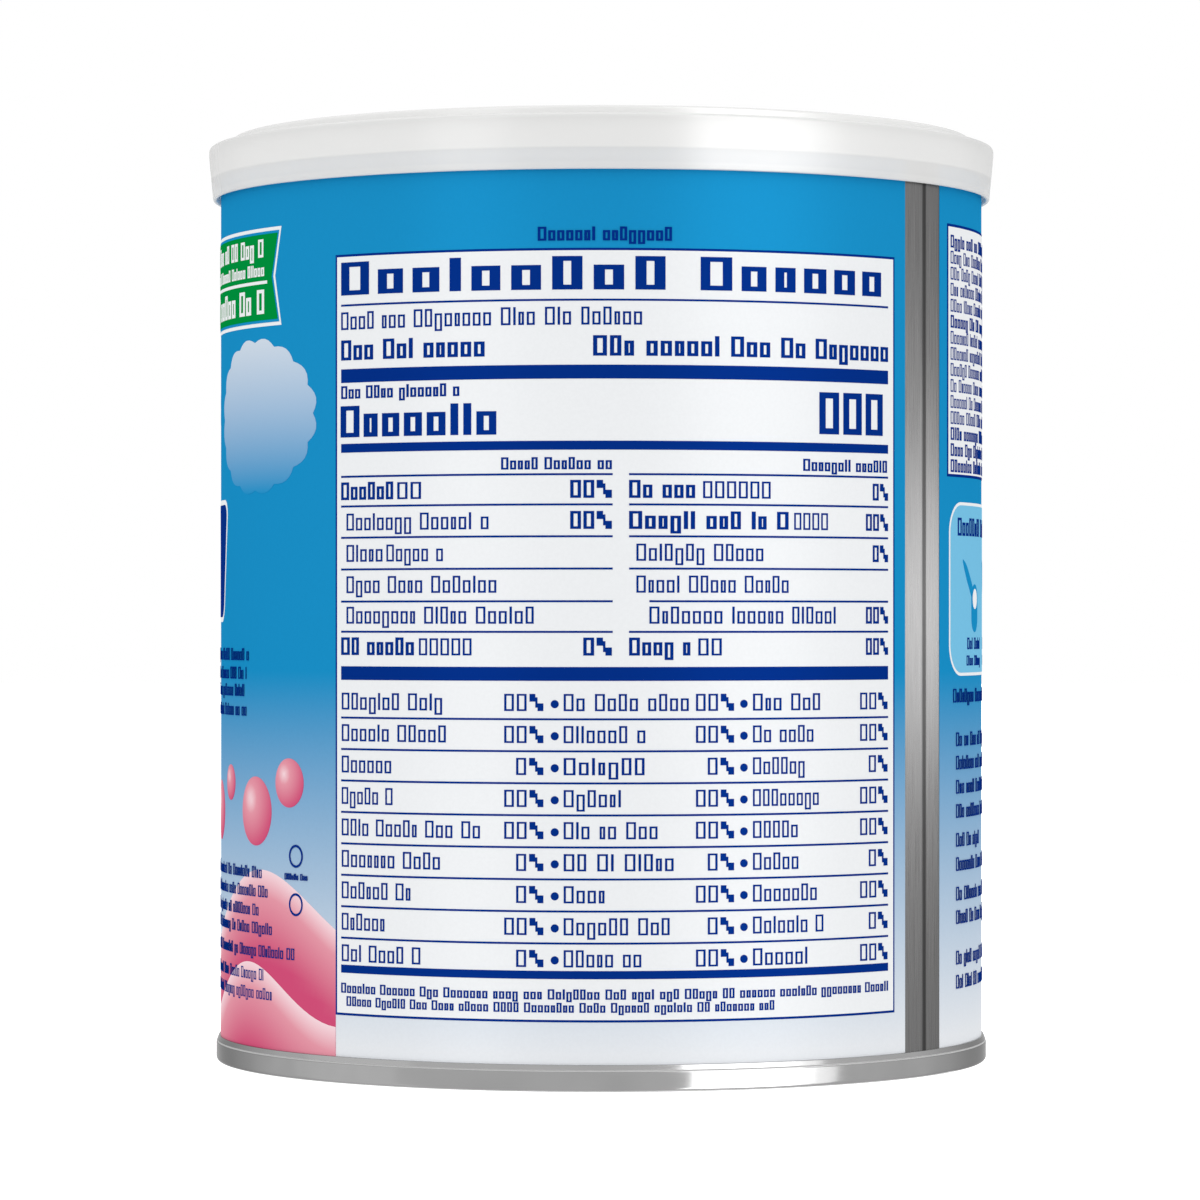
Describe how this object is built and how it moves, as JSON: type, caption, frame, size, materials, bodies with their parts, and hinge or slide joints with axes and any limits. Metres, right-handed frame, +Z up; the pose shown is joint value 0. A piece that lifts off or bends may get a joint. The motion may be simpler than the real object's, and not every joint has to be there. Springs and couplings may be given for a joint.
{
  "type": "milk powder tin",
  "caption": "Shut round steel tin of milk powder with rolled seams, a bare welded strip up its printed wall, and a translucent press-fit plastic lid.",
  "frame": {"origin": "centre of the base, on the plane that the tin stands on", "axes": "+Z up along the tin's axis, -Y towards the printed table, +X to the right of someone who reads that table"},
  "size_m": [0.1036, 0.1036, 0.1209],
  "materials": {
    "printed_steel": "gloss lacquer over print: blue fading to white, with a white table panel and navy print",
    "bare_steel": "satin tinplate",
    "lid_plastic": "milky translucent polyethylene, smooth"
  },
  "bodies": {
    "root": {"can_wall": "printed_steel", "base_end": "bare_steel", "top_end": "bare_steel", "lid": "lid_plastic"}
  },
  "joints": []
}
